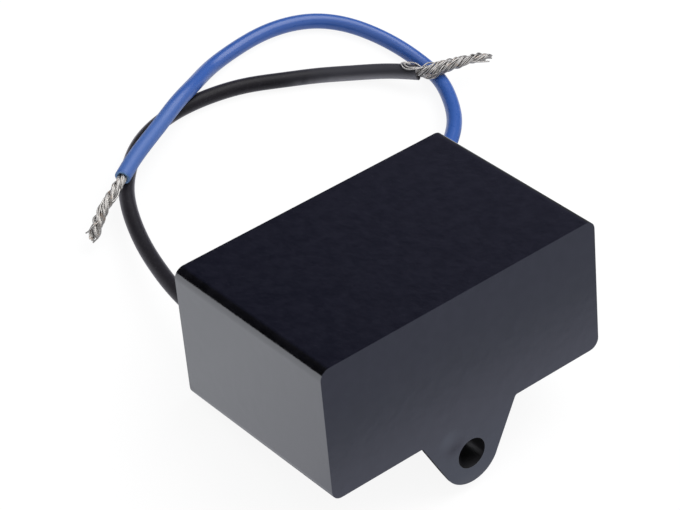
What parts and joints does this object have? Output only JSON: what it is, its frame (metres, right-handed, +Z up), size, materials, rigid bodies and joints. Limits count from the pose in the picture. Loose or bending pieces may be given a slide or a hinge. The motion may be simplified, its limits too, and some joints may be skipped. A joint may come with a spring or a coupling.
{
  "type": "motor start capacitor",
  "caption": "Potted film motor start capacitor in a black moulded box case with a screw ear and flexible black and blue leads, stripped and twisted at their ends",
  "frame": {"origin": "middle of the underside of the part at rest on a table, leads left out", "axes": "+Z up, +X along the case's length towards the blue lead, +Y from the closed end towards the leads"},
  "size_m": [0.0768, 0.0835, 0.0319],
  "materials": {
    "case_plastic": "satin moulded",
    "potting_resin": "poured, glossy",
    "metallised_film": "wound film, satin",
    "sprayed_zinc": "sprayed, rough",
    "solder": "soft satin",
    "tinned_copper": "bright tinned",
    "black_insulation": "satin extruded",
    "blue_insulation": "satin extruded"
  },
  "bodies": {
    "root": {"case": "case_plastic", "resin": "potting_resin", "winding": "metallised_film", "black_spray": "sprayed_zinc", "blue_spray": "sprayed_zinc", "black_solder": "solder", "blue_solder": "solder", "black_core": "tinned_copper", "blue_core": "tinned_copper", "black_lead": "black_insulation", "blue_lead": "blue_insulation", "black_strands": "tinned_copper", "blue_strands": "tinned_copper"}
  },
  "joints": []
}
